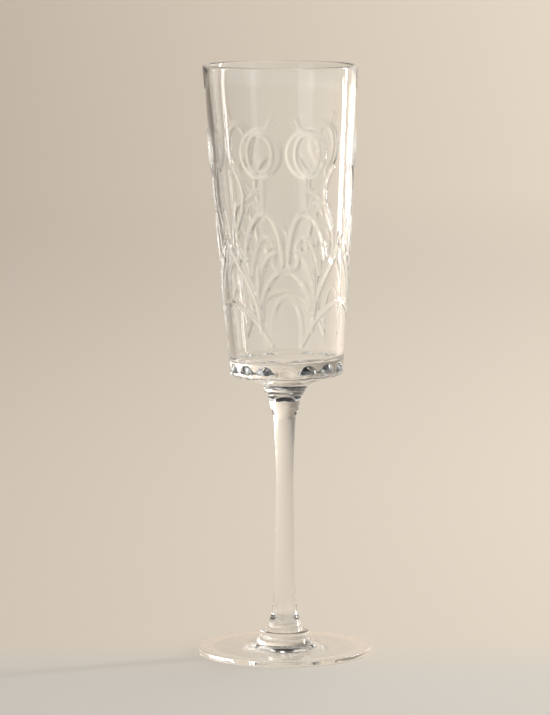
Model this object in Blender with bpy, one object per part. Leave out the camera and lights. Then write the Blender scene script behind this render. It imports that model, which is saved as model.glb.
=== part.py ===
"""Champagne flute.

A tall tapering bowl with a moulded botanical relief and a thick solid base with lobes round
its corner, on a waisted stem between two glass collars, standing on a thin round foot.

Metres, +Z up.  The origin is the centre of the foot's resting face.
"""

import math

import bmesh
import bpy

MM = 0.001

# Heights above the surface that the flute stands on
RIM_TOP = 225.0 * MM
BOWL_FLOOR = 112.7 * MM
BOWL_BOTTOM = 101.2 * MM
UPPER_COLLAR_BOTTOM = 97.3 * MM
STEM_WAIST = 66.0 * MM
LOWER_COLLAR_TOP = 11.0 * MM
FOOT_TOP = 5.6 * MM

# Fused faces stand this far apart, so that every piece stays its own closed solid
SEAM = 0.3 * MM

# Bowl
RIM_RADIUS = 29.55 * MM
BASE_RADIUS = 21.4 * MM
BASE_CORNER_HEIGHT = 109.8 * MM
BASE_CORNER_ROUND = 3.0 * MM
UNDERSIDE_CONE_DEGREES = 15.0
RIM_WALL = 1.9 * MM
BASE_WALL = 2.4 * MM
FLOOR_ROUND = 2.5 * MM
NECK_RADIUS = 7.9 * MM
NECK_FILLET = 4.2 * MM
NECK_FILLET_HEIGHT = 100.2 * MM

# Stem: a narrow waist, a slow swell towards both ends, a knop above and a short flare below
WAIST_RADIUS = 3.42 * MM
UPPER_SWELL = 1.4 * MM
LOWER_SWELL = 0.9 * MM
UPPER_SWELL_POWER = 2.0
LOWER_SWELL_POWER = 1.2
KNOP = 1.0 * MM
KNOP_START = 90.5 * MM
KNOP_END = 95.6 * MM
LOWER_FLARE = 2.0 * MM
LOWER_FLARE_LENGTH = 4.5 * MM

# Collars between bowl, stem and foot, which widen away from the stem
UPPER_COLLAR_STEM_RADIUS = 5.9 * MM
UPPER_COLLAR_BOWL_RADIUS = 7.9 * MM
LOWER_COLLAR_STEM_RADIUS = 5.9 * MM
LOWER_COLLAR_FOOT_RADIUS = 9.0 * MM
LOWER_COLLAR_BEAD_CENTRE = (8.4 * MM, 7.15 * MM)
LOWER_COLLAR_BEAD_RADIUS = 1.25 * MM
LOWER_COLLAR_BEAD_START_DEGREES = -60.0
LOWER_COLLAR_BEAD_END_DEGREES = 130.0
LOWER_COLLAR_FLARE_POWER = 0.6

# Foot: flat below, nearly flat above, with a short steep rise to the collar
FOOT_RADIUS = 33.2 * MM
FOOT_EDGE_THICKNESS = 2.4 * MM
FOOT_EDGE_ROUND = 0.85 * MM
FOOT_BUTTON_RADIUS = 9.6 * MM
FOOT_SLOPE_POWER = 12.0
FOOT_SLOPE_ROWS = 7

# Moulded relief on the outside of the bowl: low rounded pads, laid out on the unrolled wall
# in mirrored pairs, with a pair facing the front.
PAIRS = 3
PAIR_TURN = math.radians(1.0)
HALF_PITCH = 26.1 * MM
RELIEF_BOTTOM = 116.0 * MM
RELIEF_TOP = 206.0 * MM
RELIEF_HEIGHT = 0.9 * MM
# Each pad: distance of its centre from the middle of the pair, height of its centre above
# the surface, half width, half length, and how far its top leans outward in degrees
FRUIT_PAD = (8.2 * MM, 192.9 * MM, 7.7 * MM, 9.5 * MM, 0.0)
TALL_LEAF_PAD = (19.6 * MM, 175.5 * MM, 4.4 * MM, 12.0 * MM, 0.0)
ARCH_PAD = (8.4 * MM, 158.0 * MM, 6.4 * MM, 11.5 * MM, 0.0)
LOW_LEAF_PAD = (13.6 * MM, 138.0 * MM, 3.4 * MM, 10.5 * MM, 34.0)
PETAL_PAD = (0.0 * MM, 133.0 * MM, 6.2 * MM, 14.5 * MM, 0.0)

# Lobes round the bottom corner of the bowl: degrees from the middle of a set, reach sideways,
# and how far they stand out (a hollow where negative)
LOBE_SETS = 4
LOBE_HEIGHT = 109.2 * MM
LOBE_REACH_UP = 3.2 * MM
LOBE_INNER_RADIUS = 16.0 * MM
LOBES = (
    (0.0, 4.4 * MM, -0.8 * MM),
    (22.5, 3.6 * MM, 0.9 * MM),
    (45.0, 3.6 * MM, 0.8 * MM),
)

# Number of flat facets around and along each turned piece
BOWL_FACETS = 96
FOOT_FACETS = 64
COLLAR_FACETS = 32
STEM_FACETS = 24
COLLAR_ROWS = 5
RELIEF_ROWS = 30
STEM_ROWS = 20
BEAD_ROWS = 8
NECK_ROWS = 4
CORNER_ROWS = 5
BASE_ROWS = 4
RIM_ROWS = 4
FLOOR_ROWS = 3
FOOT_EDGE_ROWS = 3

SMOOTH_ANGLE = math.radians(40.0)
WELD_DISTANCE = 0.001 * MM
ON_WALL_TOLERANCE = 0.1 * MM


def clear_scene():
    """Remove every object, so that the script can be run again."""
    for old in list(bpy.data.objects):
        bpy.data.objects.remove(old, do_unlink=True)


def glass(name, tint, roughness):
    """A clear soda-lime glass with its own faint tint."""
    material = bpy.data.materials.new(name)
    material.use_nodes = True
    shader = material.node_tree.nodes["Principled BSDF"]
    shader.inputs["Base Color"].default_value = (*tint, 1.0)
    shader.inputs["Roughness"].default_value = roughness
    shader.inputs["Metallic"].default_value = 0.0
    shader.inputs["IOR"].default_value = 1.5
    shader.inputs["Transmission Weight"].default_value = 1.0
    material.diffuse_color = (*tint, 0.35)
    return material


def bowl_glass():
    return glass("bowl_glass", (0.88, 0.88, 0.84), 0.03)


def upper_collar_glass():
    return glass("upper_collar_glass", (0.90, 0.90, 0.86), 0.03)


def stem_glass():
    return glass("stem_glass", (0.91, 0.90, 0.86), 0.02)


def lower_collar_glass():
    return glass("lower_collar_glass", (0.90, 0.90, 0.86), 0.03)


def foot_glass():
    return glass("foot_glass", (0.87, 0.86, 0.82), 0.04)


def arc(centre, radius, start_degrees, end_degrees, steps):
    """Points on a round stretch of an outline, as (distance from the axis, height)."""
    angles = [math.radians(start_degrees + (end_degrees - start_degrees) * i / steps)
              for i in range(steps + 1)]
    return [(centre[0] + radius * math.cos(a), centre[1] + radius * math.sin(a)) for a in angles]


def spread(start, end, steps):
    """Evenly spaced values from start to end, both included."""
    return [start + (end - start) * i / steps for i in range(steps + 1)]


def turned_mesh(outline, facets):
    """Turn an outline that starts and ends on the axis into a closed bmesh."""
    mesh = bmesh.new()
    points = [mesh.verts.new((radius, 0.0, height)) for radius, height in outline]
    edges = [mesh.edges.new(pair) for pair in zip(points, points[1:])]
    bmesh.ops.spin(mesh, geom=points + edges, cent=(0, 0, 0), axis=(0, 0, 1),
                   angle=math.tau, steps=facets, use_merge=True, use_duplicate=False)
    bmesh.ops.remove_doubles(mesh, verts=mesh.verts, dist=WELD_DISTANCE)
    bmesh.ops.recalc_face_normals(mesh, faces=mesh.faces)
    return mesh


def add_piece(name, mesh, material):
    """Put a finished bmesh into the scene as a smooth-shaded object."""
    data = bpy.data.meshes.new(name)
    mesh.to_mesh(data)
    mesh.free()
    data.shade_smooth()
    data.set_sharp_from_angle(angle=SMOOTH_ANGLE)
    data.materials.append(material)
    piece = bpy.data.objects.new(name, data)
    bpy.context.scene.collection.objects.link(piece)
    return piece


def outer_wall_radius(height):
    """Outside of the bowl's straight taper."""
    along = (height - BASE_CORNER_HEIGHT) / (RIM_TOP - BASE_CORNER_HEIGHT)
    return BASE_RADIUS + (RIM_RADIUS - BASE_RADIUS) * along


def inner_wall_radius(height):
    """Inside of the bowl: the wall grows thicker towards the base."""
    along = (height - BASE_CORNER_HEIGHT) / (RIM_TOP - BASE_CORNER_HEIGHT)
    return outer_wall_radius(height) - (BASE_WALL + (RIM_WALL - BASE_WALL) * along)


def pad_height(across, up, pad):
    """Height of one oval pad at a place on the unrolled wall: a shallow dome."""
    centre_across, centre_up, half_width, half_length, lean_degrees = pad
    lean = math.radians(lean_degrees)
    right = across - centre_across
    above = up - centre_up
    over_width = (right * math.cos(lean) - above * math.sin(lean)) / half_width
    over_length = (right * math.sin(lean) + above * math.cos(lean)) / half_length
    return RELIEF_HEIGHT * max(0.0, 1.0 - over_width ** 2 - over_length ** 2)


def angle_from_middle(angle, repeats):
    """Angle from the middle of the nearest of some equal repeats, always positive."""
    pitch = math.tau / repeats
    return abs((angle + pitch / 2) % pitch - pitch / 2)


def relief_height(angle, height):
    """How far the relief stands out of the wall at an angle and a height."""
    across = angle_from_middle(angle, PAIRS) / (math.pi / PAIRS) * HALF_PITCH
    pads = (FRUIT_PAD, TALL_LEAF_PAD, ARCH_PAD, LOW_LEAF_PAD, PETAL_PAD)
    return max(pad_height(across, height, pad) for pad in pads)


def lobe_height(angle, height, radius):
    """How far the lobes stand out of the bowl's bottom corner."""
    up = (height - LOBE_HEIGHT) / LOBE_REACH_UP
    total = 0.0
    for degrees, reach_across, stand_out in LOBES:
        from_lobe = angle_from_middle(angle, LOBE_SETS) - math.radians(degrees)
        across = from_lobe * radius / reach_across
        total += stand_out * max(0.0, 1.0 - across ** 2 - up ** 2)
    return total


def raise_relief(mesh):
    """Push the outside's vertices outward into the moulded relief and the lobes."""
    for vert in mesh.verts:
        radius = math.hypot(vert.co.x, vert.co.y)
        angle = math.atan2(vert.co.y, vert.co.x)
        on_wall = abs(radius - outer_wall_radius(vert.co.z)) < ON_WALL_TOLERANCE
        stand_out = 0.0
        if on_wall and RELIEF_BOTTOM < vert.co.z < RELIEF_TOP:
            stand_out = relief_height(angle, vert.co.z)
        elif vert.co.z < LOBE_HEIGHT + LOBE_REACH_UP and radius > LOBE_INNER_RADIUS:
            stand_out = lobe_height(angle, vert.co.z, radius)
        if stand_out:
            scale = 1.0 + stand_out / radius
            vert.co.x *= scale
            vert.co.y *= scale
    bmesh.ops.triangulate(mesh, faces=mesh.faces, quad_method="SHORT_EDGE")


def make_bowl():
    """Tapering bowl, open at the top, with a thick solid base and a short neck below."""
    fillet_centre = (NECK_RADIUS + NECK_FILLET, NECK_FILLET_HEIGHT)
    fillet_start = 180.0 - math.degrees(math.asin((BOWL_BOTTOM - fillet_centre[1]) / NECK_FILLET))
    corner_centre = (BASE_RADIUS - BASE_CORNER_ROUND, BASE_CORNER_HEIGHT)
    rim_round = RIM_WALL / 2
    rim_centre_height = RIM_TOP - rim_round
    rim_centre = (outer_wall_radius(rim_centre_height) - rim_round, rim_centre_height)
    floor_centre_height = BOWL_FLOOR + FLOOR_ROUND
    floor_centre = (inner_wall_radius(floor_centre_height) - FLOOR_ROUND, floor_centre_height)

    outline = [(0.0, BOWL_BOTTOM)]
    outline += arc(fillet_centre, NECK_FILLET, fillet_start, 90.0 + UNDERSIDE_CONE_DEGREES,
                   NECK_ROWS)
    outline += arc(corner_centre, BASE_CORNER_ROUND, UNDERSIDE_CONE_DEGREES - 90.0, 0.0,
                   CORNER_ROWS)
    base_heights = spread(BASE_CORNER_HEIGHT, RELIEF_BOTTOM, BASE_ROWS)[1:-1]
    relief_heights = spread(RELIEF_BOTTOM, RELIEF_TOP, RELIEF_ROWS)
    outline += [(outer_wall_radius(z), z) for z in base_heights + relief_heights]
    outline += arc(rim_centre, rim_round, 0.0, 180.0, RIM_ROWS)
    outline += arc(floor_centre, FLOOR_ROUND, 0.0, -90.0, FLOOR_ROWS)
    outline += [(0.0, BOWL_FLOOR)]

    mesh = turned_mesh(outline, BOWL_FACETS)
    raise_relief(mesh)
    bowl = add_piece("bowl", mesh, bowl_glass())
    bowl.rotation_euler.z = PAIR_TURN
    return bowl


def eased_step(value, start, end):
    """A soft step from 0 to 1 as the value goes from start to end."""
    share = min(1.0, max(0.0, (value - start) / (end - start)))
    return share * share * (3.0 - 2.0 * share)


def stem_radius(height):
    """Radius of the stem at a height: waist, swell, knop and flare."""
    top = UPPER_COLLAR_BOTTOM - SEAM
    bottom = LOWER_COLLAR_TOP + SEAM
    if height >= STEM_WAIST:
        swell = UPPER_SWELL * ((height - STEM_WAIST) / (top - STEM_WAIST)) ** UPPER_SWELL_POWER
    else:
        swell = LOWER_SWELL * ((STEM_WAIST - height) / (STEM_WAIST - bottom)) ** LOWER_SWELL_POWER
    knop = KNOP * eased_step(height, KNOP_START, KNOP_END)
    flare_below = LOWER_FLARE * math.exp((bottom - height) / LOWER_FLARE_LENGTH)
    return WAIST_RADIUS + swell + knop + flare_below


def make_stem():
    """Solid waisted rod.  Its rows crowd together towards the flared ends."""
    top = UPPER_COLLAR_BOTTOM - SEAM
    bottom = LOWER_COLLAR_TOP + SEAM
    heights = [bottom + (top - bottom) * (1 - math.cos(math.pi * i / STEM_ROWS)) / 2
               for i in range(STEM_ROWS + 1)]
    outline = [(0.0, bottom)] + [(stem_radius(z), z) for z in heights] + [(0.0, top)]
    return add_piece("stem", turned_mesh(outline, STEM_FACETS), stem_glass())


def make_upper_collar():
    """Collar that joins the stem to the bowl: a short cone."""
    bottom = UPPER_COLLAR_BOTTOM
    top = BOWL_BOTTOM - SEAM
    outline = [(0.0, bottom)]
    for along in spread(0.0, 1.0, COLLAR_ROWS):
        radius = UPPER_COLLAR_STEM_RADIUS + (UPPER_COLLAR_BOWL_RADIUS - UPPER_COLLAR_STEM_RADIUS) * along
        outline.append((radius, bottom + (top - bottom) * along))
    outline.append((0.0, top))
    return add_piece("upper_collar", turned_mesh(outline, COLLAR_FACETS), upper_collar_glass())


def make_lower_collar():
    """Collar that joins the stem to the foot: a flare on a rounded bead."""
    bottom = FOOT_TOP + SEAM
    top = LOWER_COLLAR_TOP
    outline = [(0.0, bottom), (LOWER_COLLAR_FOOT_RADIUS, bottom)]
    outline += arc(LOWER_COLLAR_BEAD_CENTRE, LOWER_COLLAR_BEAD_RADIUS,
                   LOWER_COLLAR_BEAD_START_DEGREES, LOWER_COLLAR_BEAD_END_DEGREES, BEAD_ROWS)
    start_radius, start_height = outline[-1]
    for along in spread(0.0, 1.0, COLLAR_ROWS)[1:]:
        narrowing = (start_radius - LOWER_COLLAR_STEM_RADIUS) * along ** LOWER_COLLAR_FLARE_POWER
        outline.append((start_radius - narrowing, start_height + (top - start_height) * along))
    outline.append((0.0, top))
    return add_piece("lower_collar", turned_mesh(outline, COLLAR_FACETS), lower_collar_glass())


def make_foot():
    """Thin round foot with a rounded edge and a flat resting face."""
    slope_start = FOOT_RADIUS - FOOT_EDGE_ROUND
    low_edge_centre = (slope_start, FOOT_EDGE_ROUND)
    high_edge_centre = (slope_start, FOOT_EDGE_THICKNESS - FOOT_EDGE_ROUND)
    rise = FOOT_TOP - FOOT_EDGE_THICKNESS

    outline = [(0.0, 0.0)]
    outline += arc(low_edge_centre, FOOT_EDGE_ROUND, -90.0, 0.0, FOOT_EDGE_ROWS)
    outline += arc(high_edge_centre, FOOT_EDGE_ROUND, 0.0, 90.0, FOOT_EDGE_ROWS)
    for risen in spread(0.0, 1.0, FOOT_SLOPE_ROWS)[1:]:
        inward = risen ** (1.0 / FOOT_SLOPE_POWER)
        radius = slope_start + (FOOT_BUTTON_RADIUS - slope_start) * inward
        outline.append((radius, FOOT_EDGE_THICKNESS + rise * risen))
    outline.append((0.0, FOOT_TOP))
    return add_piece("foot", turned_mesh(outline, FOOT_FACETS), foot_glass())


def main():
    clear_scene()
    flute = bpy.data.objects.new("champagne_flute", None)
    bpy.context.scene.collection.objects.link(flute)
    for make in (make_foot, make_lower_collar, make_stem, make_upper_collar, make_bowl):
        make().parent = flute


main()
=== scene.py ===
"""Looks of the champagne flute: fine moulded relief, fused glass pieces, studio light."""

import math

import bpy
import numpy as np
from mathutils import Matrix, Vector


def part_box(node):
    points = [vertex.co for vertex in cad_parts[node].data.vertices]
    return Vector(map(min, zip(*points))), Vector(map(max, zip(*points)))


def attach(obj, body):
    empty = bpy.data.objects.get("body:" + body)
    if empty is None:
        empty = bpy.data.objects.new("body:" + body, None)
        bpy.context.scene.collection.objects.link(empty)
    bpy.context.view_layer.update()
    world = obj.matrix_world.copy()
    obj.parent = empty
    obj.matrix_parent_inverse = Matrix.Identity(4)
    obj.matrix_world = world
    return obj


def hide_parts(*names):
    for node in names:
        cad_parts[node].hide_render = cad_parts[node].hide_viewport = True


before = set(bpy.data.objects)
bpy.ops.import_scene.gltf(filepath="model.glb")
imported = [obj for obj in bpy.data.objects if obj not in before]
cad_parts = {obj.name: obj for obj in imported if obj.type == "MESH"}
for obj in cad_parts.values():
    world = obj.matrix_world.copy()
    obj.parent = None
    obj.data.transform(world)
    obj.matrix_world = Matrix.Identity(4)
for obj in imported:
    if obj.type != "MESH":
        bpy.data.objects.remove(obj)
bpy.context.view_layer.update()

MM = 0.001

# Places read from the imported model
BOWL_LOW, BOWL_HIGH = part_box("bowl")
UPPER_COLLAR_LOW, UPPER_COLLAR_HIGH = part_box("upper_collar")
STEM_LOW, STEM_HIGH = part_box("stem")
LOWER_COLLAR_LOW, LOWER_COLLAR_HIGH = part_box("lower_collar")
FOOT_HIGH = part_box("foot")[1]

RIM_TOP = BOWL_HIGH.z
BOWL_BOTTOM = BOWL_LOW.z

# Fused faces stand this far apart
SEAM = 0.02 * MM
SEAM_BELOW_BOWL = (UPPER_COLLAR_HIGH.z + BOWL_LOW.z) / 2
SEAM_ABOVE_STEM = (STEM_HIGH.z + UPPER_COLLAR_LOW.z) / 2
SEAM_BELOW_STEM = (LOWER_COLLAR_HIGH.z + STEM_LOW.z) / 2
SEAM_ABOVE_FOOT = (FOOT_HIGH.z + LOWER_COLLAR_LOW.z) / 2

# Bowl
RIM_RADIUS = 29.55 * MM
BASE_RADIUS = 21.6 * MM
BASE_CORNER_HEIGHT = 109.8 * MM
BASE_CORNER_ROUND = 3.0 * MM
UNDERSIDE_CONE_DEGREES = 15.0
RIM_WALL = 1.9 * MM
BASE_WALL = 2.4 * MM
BOWL_FLOOR = 112.7 * MM
FLOOR_ROUND = 2.5 * MM
INNER_TOP_GAP = 4.0 * MM
INNER_BOTTOM_GAP = 2.0 * MM
NECK_RADIUS = 7.9 * MM
NECK_FILLET = 4.2 * MM
NECK_FILLET_HEIGHT = 100.2 * MM
BOWL_LEAN_DEGREES = 1.3
BOWL_OFFSET = 1.1 * MM
LEAN_FULL_HEIGHT = 104.5 * MM

# Stem
STEM_WAIST = 66.0 * MM
WAIST_RADIUS = 3.42 * MM
UPPER_SWELL = 1.4 * MM
LOWER_SWELL = 0.9 * MM
UPPER_SWELL_POWER = 2.0
LOWER_SWELL_POWER = 1.2
KNOP = 1.0 * MM
KNOP_START = 90.5 * MM
KNOP_END = 95.6 * MM
LOWER_FLARE = 2.0 * MM
LOWER_FLARE_LENGTH = 4.5 * MM

# Collars
UPPER_COLLAR_STEM_RADIUS = 5.9 * MM
UPPER_COLLAR_BOWL_RADIUS = 7.9 * MM
UPPER_COLLAR_BULGE = -0.1 * MM
LOWER_COLLAR_STEM_RADIUS = 5.9 * MM
LOWER_COLLAR_BEAD_CENTRE = (8.4 * MM, 7.15 * MM)
LOWER_COLLAR_BEAD_RADIUS = 1.25 * MM
LOWER_COLLAR_BEAD_START_DEGREES = -60.0
LOWER_COLLAR_BEAD_END_DEGREES = 130.0
LOWER_COLLAR_FOOT_RADIUS = 9.0 * MM
LOWER_COLLAR_FLARE_POWER = 0.6

# Foot
FOOT_RADIUS = 33.2 * MM
FOOT_EDGE_THICKNESS = 2.4 * MM
FOOT_EDGE_ROUND = 0.5 * MM
# Unevenness of the edge: number of waves round it, where they start, and their share
RIPPLE_START = 29.0 * MM
RIPPLE_DEPTH = 0.055 * MM
RIPPLES = ((31, 0.3, 1.0), (47, 1.9, 0.6), (19, 4.1, 0.8))
FOOT_BUTTON_RADIUS = 9.6 * MM
FOOT_SLOPE_POWER = 12.0
RESTING_RING_INNER = 27.0 * MM
FOOT_HOLLOW_DEPTH = 0.05 * MM

# Relief on the outside of the bowl: three mirrored pairs of fruit sprays
PAIRS = 3
PAIR_TURN = math.radians(1.0)
MM_PER_DEGREE = 0.436
RELIEF_BOTTOM = 116.0 * MM
RELIEF_TOP = 215.0 * MM
RIDGE_HEIGHT = 0.44 * MM
BLEND_POWER = 2.5
FRUIT_PLACE = (18.8, 192.9)
FRUIT_OUTER = (7.9, 9.8)
FRUIT_INNER = (4.3, 7.4)
FRUIT_HEIGHT = 0.42 * MM
FRUIT_EDGE = 0.13
FRUIT_RING_WIDTH = 0.10
FRUIT_RING_HEIGHT = 0.36 * MM
FRUIT_CORE_HEIGHT = 0.1 * MM
BERRY_PLACE = (45.0, 152.6)
BERRY_RADIUS = 1.7
BERRY_HEIGHT = 0.7 * MM
BERRY_ROUNDNESS = 0.8
RIDGE_ROUNDNESS = 1.5

# Lobes round the bottom corner of the bowl: degrees from the middle of a set, reach sideways,
# and how far they stand out (a hollow where negative)
LOBE_SETS = 4
LOBE_TURN = math.radians(-1.0)
LOBE_HEIGHT = 109.0 * MM
LOBE_REACH_UP = 3.5 * MM
LOBE_INNER_RADIUS = 16.0 * MM
LOBES = (
    (0.0, 4.4 * MM, -0.8 * MM),
    (22.5, 3.3 * MM, 1.35 * MM),
    (45.0, 3.3 * MM, 1.25 * MM),
)

# Ridge lines of half a pair: points (degrees from the middle of the pair, height above the foot
# in millimetres), and the ridge's half width in millimetres and relative height.
RIDGE_LINES = (
    ([(14.5, 201.6), (12.0, 203.4), (9.6, 205.6)], 0.8, 0.4),
    ([(12.5, 202.0), (9.0, 203.2), (6.5, 204.6)], 0.7, 0.25),
    ([(17.3, 183.6), (17.6, 177.0), (18.6, 170.1)], 1.0, 0.5),
    ([(24.6, 150.0), (25.5, 143.7), (25.8, 138.7), (25.2, 130.8), (24.0, 125.9)], 1.1, 0.9),
    ([(17.0, 178.5), (21.0, 179.3), (26.0, 178.1), (32.6, 175.2)], 1.0, 0.4),
    ([(18.4, 171.1), (24.0, 173.6), (29.5, 173.4), (34.0, 170.1)], 0.9, 0.4),
    ([(44.0, 187.3), (41.0, 185.4), (37.0, 181.4), (35.4, 177.0), (36.8, 172.0), (40.5, 167.6),
      (44.0, 164.2)], 0.95, 1.0),
    ([(2.0, 152.0), (3.0, 156.3), (5.0, 161.7), (8.0, 166.2), (13.0, 169.7), (20.0, 170.1),
      (27.5, 166.7), (34.0, 160.3), (36.5, 153.4)], 1.2, 1.0),
    ([(2.0, 152.0), (4.6, 149.7), (8.5, 149.9), (11.0, 152.4), (9.6, 155.4)], 1.0, 0.8),
    ([(9.6, 155.4), (14.0, 154.4), (18.5, 151.8), (22.0, 148.0), (25.5, 141.6)], 1.3, 0.9),
    ([(9.6, 158.3), (14.5, 161.3), (21.0, 160.3), (27.0, 154.5), (31.0, 147.6)], 1.0, 0.6),
    ([(0.0, 148.9), (7.0, 147.9), (13.5, 145.1), (19.0, 141.2), (22.5, 136.7), (23.5, 130.8)],
     1.2, 0.8),
    ([(0.0, 139.0), (6.0, 137.8), (10.5, 134.7), (13.5, 130.4), (14.5, 124.9), (14.0, 120.9)],
     1.1, 0.6),
    ([(60.0, 161.0), (53.0, 156.5), (45.0, 150.5), (38.0, 146.1), (32.0, 141.2), (27.5, 136.2),
      (25.0, 130.8)], 1.1, 1.0),
    ([(14.0, 120.6), (19.0, 123.7), (25.0, 127.9), (33.0, 131.4), (45.0, 134.7),
      (60.0, 136.4)], 1.0, 0.9),
)

# Number of facets round each piece, and of steps along the stretches of its outline
BOWL_FACETS = 360
STEM_FACETS = 96
COLLAR_FACETS = 128
FOOT_FACETS = 256
RELIEF_ROWS = 196
BASE_ROWS = 16
NECK_ROWS = 10
CORNER_ROWS = 14
RIM_ROWS = 10
FLOOR_ROWS = 8
INNER_ROWS = 8
STEM_ROWS = 120
COLLAR_ROWS = 16
BEAD_ROWS = 16
FLARE_ROWS = 10
FOOT_UNDERSIDE_ROWS = 12
FOOT_EDGE_ROWS = 8
FOOT_SLOPE_ROWS = 24
LINE_STEPS = 10

# How near a place must be to the plain wall to count as part of it
ON_WALL_TOLERANCE = 0.05 * MM
OUTSIDE_MARGIN = 0.1 * MM


def arc(centre, radius, start_degrees, end_degrees, steps):
    """Points on a round stretch of an outline, as (distance from the axis, height)."""
    angles = [math.radians(start_degrees + (end_degrees - start_degrees) * i / steps)
              for i in range(steps + 1)]
    return [(centre[0] + radius * math.cos(a), centre[1] + radius * math.sin(a)) for a in angles]


def spread(start, end, steps):
    """Evenly spaced values from start to end, both included."""
    return [start + (end - start) * i / steps for i in range(steps + 1)]


def turned_piece(name, outline, facets, fused_ends):
    """A turned solid from an outline that starts and ends on the axis.

    fused_ends names the flat ends, low or high, where it is fused to its neighbour.
    """
    rings = outline[1:-1]
    angles = np.arange(facets) * math.tau / facets
    radii = np.array([r for r, z in rings])[:, None]
    heights = np.array([z for r, z in rings])[:, None]
    points = np.stack([radii * np.cos(angles), radii * np.sin(angles),
                       heights + np.zeros(facets)], axis=2).reshape(-1, 3)
    low_pole = len(points)
    high_pole = low_pole + 1
    points = np.vstack([points, (0, 0, outline[0][1]), (0, 0, outline[-1][1])])

    index = np.arange(len(rings) * facets).reshape(len(rings), facets)
    ahead = np.roll(index, -1, axis=1)
    quads = np.stack([index[:-1], ahead[:-1], ahead[1:], index[1:]], axis=2).reshape(-1, 4)
    low_fan = [(low_pole, b, a) for a, b in zip(index[0], ahead[0])]
    high_fan = [(high_pole, a, b) for a, b in zip(index[-1], ahead[-1])]

    mesh = bpy.data.meshes.new(name)
    mesh.from_pydata(points.tolist(), [], quads.tolist() + low_fan + high_fan)
    mesh.shade_smooth()
    ring_of_end = {"low": index[0], "high": index[-1]}
    mark_sharp(mesh, [ring_of_end[end] for end in fused_ends])
    slots = np.zeros(len(mesh.polygons), dtype=np.int32)
    if "low" in fused_ends:
        slots[len(quads):len(quads) + facets] = 1
    if "high" in fused_ends:
        slots[len(quads) + facets:] = 1
    mesh.polygons.foreach_set("material_index", slots)
    piece = bpy.data.objects.new(name, mesh)
    bpy.context.scene.collection.objects.link(piece)
    return piece


def mark_sharp(mesh, rings):
    """Make the edges along the given rings of vertices sharp."""
    ends = np.empty(len(mesh.edges) * 2, dtype=np.int32)
    mesh.edges.foreach_get("vertices", ends)
    ends = ends.reshape(-1, 2)
    sharp = np.zeros(len(ends), dtype=bool)
    for ring in rings:
        sharp |= np.isin(ends, ring).all(axis=1)
    layer = mesh.attributes.new("sharp_edge", "BOOLEAN", "EDGE")
    layer.data.foreach_set("value", sharp)


def outer_wall_radius(height):
    along = (height - BASE_CORNER_HEIGHT) / (RIM_TOP - BASE_CORNER_HEIGHT)
    return BASE_RADIUS + (RIM_RADIUS - BASE_RADIUS) * along


def inner_wall_radius(height):
    along = (height - BASE_CORNER_HEIGHT) / (RIM_TOP - BASE_CORNER_HEIGHT)
    return outer_wall_radius(height) - (BASE_WALL + (RIM_WALL - BASE_WALL) * along)


def smooth_line(points):
    """Extra points between given ones, on a curve that passes through them all."""
    points = np.array(points, dtype=float)
    knots = np.vstack([2 * points[0] - points[1], points, 2 * points[-1] - points[-2]])
    line = []
    for a, b, c, d in zip(knots, knots[1:], knots[2:], knots[3:]):
        for t in np.linspace(0.0, 1.0, LINE_STEPS, endpoint=False):
            line.append(0.5 * (2 * b + (c - a) * t + (2 * a - 5 * b + 4 * c - d) * t ** 2
                               + (3 * b - a - 3 * c + d) * t ** 3))
    line.append(points[-1])
    return np.array(line)


def distance_to_line(across, up, line):
    """Shortest distances from places on the unrolled wall to a ridge line."""
    nearest = np.full(across.shape, np.inf)
    for (ax, ay), (bx, by) in zip(line, line[1:]):
        run_x, run_y = bx - ax, by - ay
        length_squared = run_x ** 2 + run_y ** 2
        along = np.clip(((across - ax) * run_x + (up - ay) * run_y) / length_squared, 0.0, 1.0)
        nearest = np.minimum(nearest, np.hypot(across - ax - along * run_x, up - ay - along * run_y))
    return nearest


def eased_step(value, start, end):
    """A soft step from 0 to 1 as the value goes from start to end."""
    share = np.clip((value - start) / (end - start), 0.0, 1.0)
    return share * share * (3.0 - 2.0 * share)


def fruit_relief(across, up):
    """An oval fruit: a raised pad with a ring on it round a domed core."""
    side = across - FRUIT_PLACE[0] * MM_PER_DEGREE
    rise = up - FRUIT_PLACE[1]
    outer_reach = np.hypot(side / FRUIT_OUTER[0], rise / FRUIT_OUTER[1])
    inner_reach = np.hypot(side / FRUIT_INNER[0], rise / FRUIT_INNER[1])
    pad = FRUIT_HEIGHT * eased_step(1.0 - outer_reach, 0.0, FRUIT_EDGE)
    ring = FRUIT_RING_HEIGHT * np.exp(-((inner_reach - 1.0) / FRUIT_RING_WIDTH) ** 2)
    core = FRUIT_CORE_HEIGHT * np.clip(1.0 - inner_reach ** 2, 0.0, 1.0)
    return pad + ring + core


def berry_relief(across, up):
    """A small round bead between two pairs."""
    side = across - BERRY_PLACE[0] * MM_PER_DEGREE
    reach = np.hypot(side, up - BERRY_PLACE[1]) / BERRY_RADIUS
    return BERRY_HEIGHT * np.clip(1.0 - reach ** 2, 0.0, 1.0) ** BERRY_ROUNDNESS


def blended(first, second):
    """The higher of two reliefs, with a soft valley where they meet."""
    return (first ** BLEND_POWER + second ** BLEND_POWER) ** (1.0 / BLEND_POWER)


def angle_from_middle(angle, repeats, turn):
    """Angles from the middle of the nearest of some equal repeats, always positive."""
    pitch = math.tau / repeats
    front = -math.pi / 2 + turn
    return np.abs((angle - front + pitch / 2) % pitch - pitch / 2)


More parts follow.
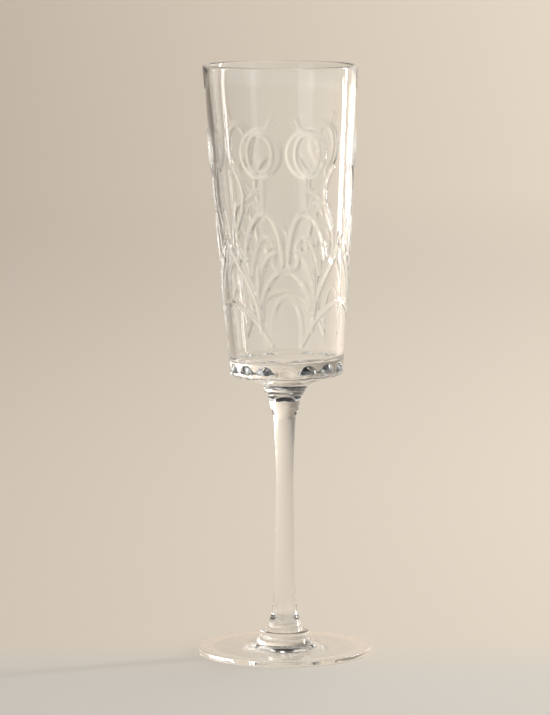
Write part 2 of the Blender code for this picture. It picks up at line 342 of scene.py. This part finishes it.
def relief_height(angle, height):
    """How far the relief stands out of the wall, for arrays of angles and heights."""
    across = np.degrees(angle_from_middle(angle, PAIRS, PAIR_TURN)) * MM_PER_DEGREE
    up = height / MM
    relief = blended(fruit_relief(across, up), berry_relief(across, up))
    for points, half_width, share in RIDGE_LINES:
        line = smooth_line(points) * (MM_PER_DEGREE, 1.0)
        reach = np.clip(distance_to_line(across, up, line) / half_width, 0.0, 1.0)
        ridge = RIDGE_HEIGHT * share * (1.0 - reach ** 2) ** RIDGE_ROUNDNESS
        relief = blended(relief, ridge)
    return relief


def read_points(mesh):
    """The places of a mesh's vertices as an array with one row each."""
    points = np.empty(len(mesh.vertices) * 3)
    mesh.vertices.foreach_get("co", points)
    return points.reshape(-1, 3)


def write_points(mesh, points):
    mesh.vertices.foreach_set("co", points.ravel())
    mesh.update()


def raise_relief(bowl):
    """Push the outer wall outward into the moulded relief."""
    points = read_points(bowl.data)
    radius = np.hypot(points[:, 0], points[:, 1])
    on_outside = np.abs(radius - outer_wall_radius(points[:, 2])) < ON_WALL_TOLERANCE
    in_band = (points[:, 2] > RELIEF_BOTTOM) & (points[:, 2] < RELIEF_TOP)
    chosen = np.nonzero(on_outside & in_band)[0]
    angle = np.arctan2(points[chosen, 1], points[chosen, 0])
    scale = 1.0 + relief_height(angle, points[chosen, 2]) / radius[chosen]
    points[chosen, 0] *= scale
    points[chosen, 1] *= scale
    write_points(bowl.data, points)


def shape_base(bowl):
    """Lobes and hollows round the rounded corner under the bowl."""
    points = read_points(bowl.data)
    radius = np.hypot(points[:, 0], points[:, 1])
    low = (points[:, 2] < LOBE_HEIGHT + LOBE_REACH_UP) & (radius > LOBE_INNER_RADIUS)
    outside = radius > inner_wall_radius(points[:, 2]) + OUTSIDE_MARGIN
    chosen = np.nonzero(low & outside)[0]
    angle = np.arctan2(points[chosen, 1], points[chosen, 0])
    from_middle = angle_from_middle(angle, LOBE_SETS, LOBE_TURN)
    up = (points[chosen, 2] - LOBE_HEIGHT) / LOBE_REACH_UP
    shift = np.zeros(len(chosen))
    for degrees, reach_across, stand_out in LOBES:
        across = (from_middle - math.radians(degrees)) * radius[chosen] / reach_across
        shift += stand_out * np.clip(1.0 - across ** 2 - up ** 2, 0.0, 1.0)
    scale = 1.0 + shift / radius[chosen]
    points[chosen, 0] *= scale
    points[chosen, 1] *= scale
    write_points(bowl.data, points)


def lean_bowl(bowl):
    """Set the bowl slightly out of true on its neck, with a level rim, as finished glass is."""
    points = read_points(bowl.data)
    along_neck = eased_step(points[:, 2], BOWL_BOTTOM, LEAN_FULL_HEIGHT)
    lean = math.radians(BOWL_LEAN_DEGREES) * along_neck
    offset = BOWL_OFFSET * along_neck
    across = points[:, 0].copy()
    above = points[:, 2] - BOWL_BOTTOM
    points[:, 0] = across * np.cos(lean) - above * np.sin(lean) + offset
    level = 1.0 - eased_step(points[:, 2], LEAN_FULL_HEIGHT, RIM_TOP)
    points[:, 2] = BOWL_BOTTOM + above * np.cos(lean) + across * np.sin(lean) * level
    write_points(bowl.data, points)


def make_bowl():
    """Tapering bowl, open at the top, with a thick solid base and a short neck below."""
    bottom = SEAM_BELOW_BOWL + SEAM / 2
    fillet_centre = (NECK_RADIUS + NECK_FILLET, NECK_FILLET_HEIGHT)
    fillet_start = 180.0 - math.degrees(math.asin((bottom - fillet_centre[1]) / NECK_FILLET))
    corner_centre = (BASE_RADIUS - BASE_CORNER_ROUND, BASE_CORNER_HEIGHT)
    rim_round = RIM_WALL / 2
    rim_centre_height = RIM_TOP - rim_round
    rim_centre = (outer_wall_radius(rim_centre_height) - rim_round, rim_centre_height)
    floor_centre_height = BOWL_FLOOR + FLOOR_ROUND
    floor_centre = (inner_wall_radius(floor_centre_height) - FLOOR_ROUND, floor_centre_height)
    base_heights = spread(BASE_CORNER_HEIGHT, RELIEF_BOTTOM, BASE_ROWS)[1:-1]
    relief_heights = spread(RELIEF_BOTTOM, RELIEF_TOP, RELIEF_ROWS)
    inner_heights = spread(RIM_TOP - INNER_TOP_GAP, floor_centre_height + INNER_BOTTOM_GAP,
                           INNER_ROWS)

    outline = [(0.0, bottom)]
    outline += arc(fillet_centre, NECK_FILLET, fillet_start, 90.0 + UNDERSIDE_CONE_DEGREES,
                   NECK_ROWS)
    outline += arc(corner_centre, BASE_CORNER_ROUND, UNDERSIDE_CONE_DEGREES - 90.0, 0.0,
                   CORNER_ROWS)
    outline += [(outer_wall_radius(z), z) for z in base_heights + relief_heights]
    outline += arc(rim_centre, rim_round, 0.0, 180.0, RIM_ROWS)
    outline += [(inner_wall_radius(z), z) for z in inner_heights]
    outline += arc(floor_centre, FLOOR_ROUND, 0.0, -90.0, FLOOR_ROWS)
    outline += [(0.0, BOWL_FLOOR)]

    bowl = turned_piece("bowl_relief", outline, BOWL_FACETS, ["low"])
    raise_relief(bowl)
    shape_base(bowl)
    lean_bowl(bowl)
    return bowl


def stem_radius(height):
    """Radius of the stem at a height: waist, swell, knop and flare."""
    top = STEM_HIGH.z
    bottom = STEM_LOW.z
    if height >= STEM_WAIST:
        swell = UPPER_SWELL * ((height - STEM_WAIST) / (top - STEM_WAIST)) ** UPPER_SWELL_POWER
    else:
        swell = LOWER_SWELL * ((STEM_WAIST - height) / (STEM_WAIST - bottom)) ** LOWER_SWELL_POWER
    knop = KNOP * eased_step(height, KNOP_START, KNOP_END)
    flare_below = LOWER_FLARE * math.exp((bottom - height) / LOWER_FLARE_LENGTH)
    return WAIST_RADIUS + swell + knop + flare_below


def make_stem():
    """Solid rod between the two collars."""
    bottom = SEAM_BELOW_STEM + SEAM / 2
    top = SEAM_ABOVE_STEM - SEAM / 2
    heights = spread(bottom, top, STEM_ROWS)
    outline = [(0.0, bottom)] + [(stem_radius(z), z) for z in heights] + [(0.0, top)]
    return turned_piece("stem_rod", outline, STEM_FACETS, ["low", "high"])


def collar_outline(bottom, top, bottom_radius, top_radius, bulge):
    """Outline of a conical ring whose side bulges a little."""
    outline = [(0.0, bottom)]
    for along in spread(0.0, 1.0, COLLAR_ROWS):
        cone = bottom_radius + (top_radius - bottom_radius) * along
        radius = cone + bulge * math.sin(math.pi * along)
        outline.append((radius, bottom + (top - bottom) * along))
    outline.append((0.0, top))
    return outline


def make_upper_collar():
    """Short cone between the stem and the bowl's neck."""
    outline = collar_outline(SEAM_ABOVE_STEM + SEAM / 2, SEAM_BELOW_BOWL - SEAM / 2,
                             UPPER_COLLAR_STEM_RADIUS, UPPER_COLLAR_BOWL_RADIUS, UPPER_COLLAR_BULGE)
    return turned_piece("upper_collar_ring", outline, COLLAR_FACETS, ["low", "high"])


def make_lower_collar():
    """The flare of the stem's lower end, on a rounded bead."""
    bottom = SEAM_ABOVE_FOOT + SEAM / 2
    top = SEAM_BELOW_STEM - SEAM / 2
    outline = [(0.0, bottom), (LOWER_COLLAR_FOOT_RADIUS, bottom)]
    outline += arc(LOWER_COLLAR_BEAD_CENTRE, LOWER_COLLAR_BEAD_RADIUS,
                   LOWER_COLLAR_BEAD_START_DEGREES, LOWER_COLLAR_BEAD_END_DEGREES, BEAD_ROWS)
    flare_start = outline[-1]
    flare_reach = LOWER_COLLAR_STEM_RADIUS - flare_start[0]
    for along in spread(0.0, 1.0, FLARE_ROWS)[1:]:
        radius = flare_start[0] + flare_reach * along ** LOWER_COLLAR_FLARE_POWER
        outline.append((radius, flare_start[1] + (top - flare_start[1]) * along))
    outline.append((0.0, top))
    return turned_piece("lower_collar_ring", outline, COLLAR_FACETS, ["low", "high"])


def make_foot():
    """Round disc, nearly flat above, with a short steep rise to the lower collar."""
    slope_start = FOOT_RADIUS - FOOT_EDGE_ROUND
    low_edge_centre = (slope_start, FOOT_EDGE_ROUND)
    high_edge_centre = (slope_start, FOOT_EDGE_THICKNESS - FOOT_EDGE_ROUND)
    top = SEAM_ABOVE_FOOT - SEAM / 2
    rise = top - FOOT_EDGE_THICKNESS

    outline = [(0.0, FOOT_HOLLOW_DEPTH)]
    for place in spread(0.0, 1.0, FOOT_UNDERSIDE_ROWS)[1:]:
        outline.append((RESTING_RING_INNER * place, FOOT_HOLLOW_DEPTH * (1.0 - place ** 2) ** 2))
    outline += arc(low_edge_centre, FOOT_EDGE_ROUND, -90.0, 0.0, FOOT_EDGE_ROWS)
    outline += arc(high_edge_centre, FOOT_EDGE_ROUND, 0.0, 90.0, FOOT_EDGE_ROWS)
    for radius in spread(slope_start, FOOT_BUTTON_RADIUS, FOOT_SLOPE_ROWS)[1:]:
        inward = (slope_start - radius) / (slope_start - FOOT_BUTTON_RADIUS)
        outline.append((radius, FOOT_EDGE_THICKNESS + rise * inward ** FOOT_SLOPE_POWER))
    outline.append((0.0, top))
    foot = turned_piece("foot_disc", outline, FOOT_FACETS, ["high"])
    ripple_edge(foot)
    return foot


def ripple_edge(foot):
    """The slight unevenness that fire polishing leaves round the edge of the foot."""
    points = read_points(foot.data)
    radius = np.hypot(points[:, 0], points[:, 1])
    angle = np.arctan2(points[:, 1], points[:, 0])
    ripple = sum(share * np.sin(count * angle + phase) for count, phase, share in RIPPLES)
    near_edge = eased_step(radius, RIPPLE_START, FOOT_RADIUS)
    points[:, 2] += RIPPLE_DEPTH * ripple * near_edge * (points[:, 2] / FOOT_EDGE_THICKNESS)
    write_points(foot.data, points)


def fused_face_material():
    """The inside of a fused joint, where light passes straight from one piece of glass to the next."""
    material = bpy.data.materials.new("fused_joint")
    material.use_nodes = True
    shader = material.node_tree.nodes["Principled BSDF"]
    shader.inputs["Transmission Weight"].default_value = 1.0
    shader.inputs["IOR"].default_value = 1.0
    shader.inputs["Roughness"].default_value = 0.0
    shader.inputs["Metallic"].default_value = 0.0
    shader.inputs["Base Color"].default_value = (1.0, 1.0, 1.0, 1.0)
    return material


GLASS_IOR = 1.5
CLOUD_SIZE = 14 * MM
CLOUD_DETAIL = 3.0
CLOUD_DARKEST = 0.992
ROUGHEST_POLISH = 0.02
WAVE_DEPTH = 0.03 * MM
CLEAR_TINT = (0.995, 0.995, 0.99)
FOOT_TINT = (0.99, 0.99, 0.985)


def glass_material(name, tint, wave_size):
    """Clear fire-polished glass: faint tint, uneven polish and a soft waviness."""
    material = bpy.data.materials.new(name)
    material.use_nodes = True
    nodes = material.node_tree.nodes
    links = material.node_tree.links
    shader = nodes["Principled BSDF"]
    shader.inputs["Transmission Weight"].default_value = 1.0
    shader.inputs["IOR"].default_value = GLASS_IOR
    shader.inputs["Metallic"].default_value = 0.0

    place = nodes.new("ShaderNodeTexCoord")
    cloud = nodes.new("ShaderNodeTexNoise")
    cloud.inputs["Scale"].default_value = 1.0 / CLOUD_SIZE
    cloud.inputs["Detail"].default_value = CLOUD_DETAIL
    links.new(place.outputs["Object"], cloud.inputs["Vector"])

    colours = nodes.new("ShaderNodeValToRGB")
    colours.color_ramp.elements[0].color = (*[c * CLOUD_DARKEST for c in tint], 1.0)
    colours.color_ramp.elements[1].color = (*tint, 1.0)
    links.new(cloud.outputs["Fac"], colours.inputs["Fac"])
    links.new(colours.outputs["Color"], shader.inputs["Base Color"])

    polish = nodes.new("ShaderNodeMapRange")
    polish.inputs["To Min"].default_value = 0.0
    polish.inputs["To Max"].default_value = ROUGHEST_POLISH
    links.new(cloud.outputs["Fac"], polish.inputs["Value"])
    links.new(polish.outputs["Result"], shader.inputs["Roughness"])

    wave = nodes.new("ShaderNodeTexNoise")
    wave.inputs["Scale"].default_value = 1.0 / wave_size
    wave.inputs["Detail"].default_value = 1.0
    links.new(place.outputs["Object"], wave.inputs["Vector"])
    bump = nodes.new("ShaderNodeBump")
    bump.inputs["Strength"].default_value = 1.0
    bump.inputs["Distance"].default_value = WAVE_DEPTH
    links.new(wave.outputs["Fac"], bump.inputs["Height"])
    links.new(bump.outputs["Normal"], shader.inputs["Normal"])
    return material


def dress(piece, nodes, material, joint):
    """Give a piece its glass and let it stand for its CAD nodes."""
    piece.data.materials.append(material)
    piece.data.materials.append(joint)
    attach(piece, "root")
    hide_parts(*nodes)


def make_flute():
    """The five pieces of glass, from the top down."""
    bowl_glass = glass_material("bowl_glass", CLEAR_TINT, 9 * MM)
    stem_glass = glass_material("stem_glass", CLEAR_TINT, 12 * MM)
    foot_glass = glass_material("foot_glass", FOOT_TINT, 11 * MM)
    joint = fused_face_material()
    dress(make_bowl(), ["bowl"], bowl_glass, joint)
    dress(make_upper_collar(), ["upper_collar"], stem_glass, joint)
    dress(make_stem(), ["stem"], stem_glass, joint)
    dress(make_lower_collar(), ["lower_collar"], stem_glass, joint)
    dress(make_foot(), ["foot"], foot_glass, joint)


# Camera: long lens, seen from about 7 degrees above
CAMERA_DISTANCE = 1.598
CAMERA_HEIGHT = 0.308
AIM_HEIGHT = 0.1135
CAMERA_SIDE = -0.0037
LENS = 213.0
SENSOR_WIDTH = 36.0


def make_camera():
    data = bpy.data.cameras.new("camera")
    data.lens = LENS
    data.sensor_width = SENSOR_WIDTH
    camera = bpy.data.objects.new("camera", data)
    camera.location = (CAMERA_SIDE, -CAMERA_DISTANCE, CAMERA_HEIGHT)
    aim = Vector((CAMERA_SIDE, 0.0, AIM_HEIGHT))
    camera.rotation_euler = (aim - camera.location).to_track_quat("-Z", "Y").to_euler()
    bpy.context.scene.collection.objects.link(camera)
    bpy.context.scene.camera = camera


# Stage: a pale floor that sweeps up into a round warm backdrop, much of its light painted on as a glow
SWEEP_FLOOR_RADIUS = 2.2
SWEEP_BEND = 0.5
SWEEP_WALL_TOP = 1.1
SWEEP_FACETS = 128
SWEEP_CENTRE_RADIUS = 0.1
SWEEP_FLOOR_ROWS = 12
SWEEP_BEND_ROWS = 24
BACKDROP_START = -0.06
BACKDROP_FULL = 0.03
PAPER_ROUGHNESS = 0.85
FLOOR_ALBEDO = (0.36, 0.34, 0.31)
BACKDROP_ALBEDO = (0.36, 0.315, 0.265)
# Painted light: the paper glows in place of the studio light on it, brighter toward the right where
# the key light stands
FLOOR_PAINTED_LIGHT = (0.9, 0.837, 0.747)
BACKDROP_PAINTED_LIGHT = (1.0, 0.885, 0.745)
PAINTED_LIGHT_LEFT = 0.16
PAINTED_LIGHT_RIGHT = 0.91
PAINTED_LIGHT_REACH = 0.9


def make_sweep():
    """Floor, bend and wall in one turned sheet round the flute."""
    wall_radius = SWEEP_FLOOR_RADIUS + SWEEP_BEND
    rings = [(r, 0.0) for r in spread(SWEEP_CENTRE_RADIUS, SWEEP_FLOOR_RADIUS, SWEEP_FLOOR_ROWS)]
    rings += arc((SWEEP_FLOOR_RADIUS, SWEEP_BEND), SWEEP_BEND, -90.0, 0.0, SWEEP_BEND_ROWS)[1:]
    rings += [(wall_radius, SWEEP_WALL_TOP)]
    angles = np.arange(SWEEP_FACETS) * math.tau / SWEEP_FACETS
    points = [(r * math.cos(a), r * math.sin(a), z) for r, z in rings for a in angles]
    faces = []
    for ring in range(len(rings) - 1):
        for step in range(SWEEP_FACETS):
            ahead = (step + 1) % SWEEP_FACETS
            low, high = ring * SWEEP_FACETS, (ring + 1) * SWEEP_FACETS
            faces.append((low + step, high + step, high + ahead, low + ahead))
    faces.append(tuple(range(SWEEP_FACETS)))
    mesh = bpy.data.meshes.new("sweep")
    mesh.from_pydata(points, [], faces)
    mesh.shade_smooth()
    mesh.materials.append(sweep_material())
    sweep = bpy.data.objects.new("sweep", mesh)
    bpy.context.scene.collection.objects.link(sweep)


def eased(nodes, links, source, start, end):
    """A soft step from 0 to 1 as the source goes from start to end."""
    step = nodes.new("ShaderNodeMapRange")
    step.interpolation_type = "SMOOTHSTEP"
    step.inputs["From Min"].default_value = start
    step.inputs["From Max"].default_value = end
    links.new(source, step.inputs["Value"])
    return step.outputs["Result"]


def mixed(nodes, links, factor, first, second):
    """A colour mix node; either colour may be a constant or a socket."""
    mix = nodes.new("ShaderNodeMix")
    mix.data_type = "RGBA"
    links.new(factor, mix.inputs["Factor"])
    for colour, socket in ((first, mix.inputs["A"]), (second, mix.inputs["B"])):
        if isinstance(colour, tuple):
            socket.default_value = (*colour, 1.0)
        else:
            links.new(colour, socket)
    return mix.outputs["Result"]


def sweep_material():
    """Matt paper with painted light: it glows warmly in place of the studio light falling on it, more
    so toward the right.
    """
    material = bpy.data.materials.new("sweep_paper")
    material.use_nodes = True
    nodes = material.node_tree.nodes
    links = material.node_tree.links
    shader = nodes["Principled BSDF"]
    shader.inputs["Roughness"].default_value = PAPER_ROUGHNESS
    shader.inputs["Specular IOR Level"].default_value = 0.0
    place = nodes.new("ShaderNodeTexCoord")
    split = nodes.new("ShaderNodeSeparateXYZ")
    links.new(place.outputs["Object"], split.inputs["Vector"])
    behind = eased(nodes, links, split.outputs["Y"], BACKDROP_START, BACKDROP_FULL)
    albedo = mixed(nodes, links, behind, FLOOR_ALBEDO, BACKDROP_ALBEDO)
    # Colour of the painted light, warmer on the backdrop than on the floor
    painted_light_colour = mixed(nodes, links, behind, FLOOR_PAINTED_LIGHT, BACKDROP_PAINTED_LIGHT)
    links.new(albedo, shader.inputs["Base Color"])
    links.new(painted_light_colour, shader.inputs["Emission Color"])
    # Painted light: emission that grows toward the right, as the key light from the right would light
    # the paper
    painted_light = nodes.new("ShaderNodeMapRange")
    painted_light.inputs["From Min"].default_value = -PAINTED_LIGHT_REACH
    painted_light.inputs["From Max"].default_value = PAINTED_LIGHT_REACH
    painted_light.inputs["To Min"].default_value = PAINTED_LIGHT_LEFT
    painted_light.inputs["To Max"].default_value = PAINTED_LIGHT_RIGHT
    links.new(split.outputs["X"], painted_light.inputs["Value"])
    links.new(painted_light.outputs["Result"], shader.inputs["Emission Strength"])
    return material


def add_softbox(name, location, aim, width, height, radiance, colour):
    """An area light of the given radiance that faces a point."""
    data = bpy.data.lights.new(name, "AREA")
    data.shape = "RECTANGLE"
    data.size = width
    data.size_y = height
    data.energy = radiance * math.pi * width * height
    data.color = colour
    light = bpy.data.objects.new(name, data)
    light.location = location
    toward = Vector(aim) - light.location
    light.rotation_euler = toward.to_track_quat("-Z", "Y").to_euler()
    light.visible_camera = False
    bpy.context.scene.collection.objects.link(light)
    return light


# Lights: azimuths in degrees from the front toward the right, distances and sizes in metres
KEY_AZIMUTH = 114.0
KEY_DISTANCE = 0.95
KEY_WIDTH = 0.08
KEY_HEIGHT = 0.9
KEY_RADIANCE = 26.0
KEY_COLOUR = (1.0, 0.99, 0.97)
TOP_PLACE = (0.25, 0.35, 1.7)
TOP_SIZE = 0.6
TOP_RADIANCE = 4.0
TOP_COLOUR = (1.0, 0.99, 0.98)
LIGHT_FLOOR_GAP = 0.01
# A ring of dim screens in front, seen only in the glass
TENT_AZIMUTHS = (-80.0, -40.0, 0.0, 40.0, 80.0)
TENT_DISTANCE = 2.0
TENT_WIDTH = 1.45
TENT_HEIGHT = 1.0
TENT_RADIANCE = 0.45
TENT_COLOUR = (0.78, 1.03, 1.14)
# Bands: azimuth, width and radiance of each
BAND_DISTANCE = 1.6
BAND_COLOUR = (0.98, 1.0, 1.02)
BANDS = (
    (47.0, 0.28, 0.9),
    (-42.0, 0.75, 0.8),
)
EDGE_AZIMUTH = 142.0
EDGE_DISTANCE = 1.3
EDGE_WIDTH = 0.5
EDGE_HEIGHT = 1.1
EDGE_RADIANCE = 1.15
EDGE_COLOUR = (1.0, 1.0, 1.0)

# World: bright near the horizon and dark above
WORLD_LOW = (0.9, 0.9, 0.882)
WORLD_HIGH = (0.02, 0.02, 0.02)
WORLD_DARKENING_START = 0.26
WORLD_DARKENING_END = 0.38


def ring_place(distance, degrees, height):
    """A place at a distance and an azimuth, counted from the front toward the right."""
    azimuth = math.radians(degrees)
    return (distance * math.sin(azimuth), -distance * math.cos(azimuth), height)


def make_lights():
    """Studio lights: a narrow key, a wide edge light, front screens and a top light."""
    key_place = ring_place(KEY_DISTANCE, KEY_AZIMUTH, KEY_HEIGHT / 2 + LIGHT_FLOOR_GAP)
    add_softbox("key_softbox", key_place, (0.0, 0.0, key_place[2]), KEY_WIDTH, KEY_HEIGHT,
                KEY_RADIANCE, KEY_COLOUR)
    edge_place = ring_place(EDGE_DISTANCE, EDGE_AZIMUTH, EDGE_HEIGHT / 2 + LIGHT_FLOOR_GAP)
    add_softbox("edge_softbox", edge_place, (0.0, 0.0, edge_place[2]), EDGE_WIDTH, EDGE_HEIGHT,
                EDGE_RADIANCE, EDGE_COLOUR)
    for number, degrees in enumerate(TENT_AZIMUTHS):
        place = ring_place(TENT_DISTANCE, degrees, TENT_HEIGHT / 2)
        tent = add_softbox("tent_%d" % number, place, (0.0, 0.0, place[2]), TENT_WIDTH,
                           TENT_HEIGHT, TENT_RADIANCE, TENT_COLOUR)
        tent.visible_diffuse = False
    for number, (degrees, width, radiance) in enumerate(BANDS):
        place = ring_place(BAND_DISTANCE, degrees, TENT_HEIGHT / 2)
        band = add_softbox("band_%d" % number, place, (0.0, 0.0, place[2]), width, TENT_HEIGHT,
                           radiance, BAND_COLOUR)
        band.visible_diffuse = False
    add_softbox("top_softbox", TOP_PLACE, (0.0, 0.0, 0.0), TOP_SIZE, TOP_SIZE, TOP_RADIANCE,
                TOP_COLOUR)


def make_world():
    """Surroundings for the reflections: light low down, dark above."""
    world = bpy.data.worlds.new("world")
    world.use_nodes = True
    nodes = world.node_tree.nodes
    links = world.node_tree.links
    background = nodes["Background"]
    direction = nodes.new("ShaderNodeTexCoord")
    split = nodes.new("ShaderNodeSeparateXYZ")
    links.new(direction.outputs["Generated"], split.inputs["Vector"])
    high = eased(nodes, links, split.outputs["Z"], WORLD_DARKENING_START, WORLD_DARKENING_END)
    colour = mixed(nodes, links, high, WORLD_LOW, WORLD_HIGH)
    links.new(colour, background.inputs["Color"])
    bpy.context.scene.world = world


make_camera()
make_flute()
make_sweep()
make_lights()
make_world()
bpy.context.scene.view_settings.view_transform = "Standard"

# Light bounces many times inside the thick glass
GLASS_BOUNCES = 32
cycles = bpy.context.scene.cycles
cycles.max_bounces = GLASS_BOUNCES
cycles.glossy_bounces = GLASS_BOUNCES
cycles.transmission_bounces = GLASS_BOUNCES
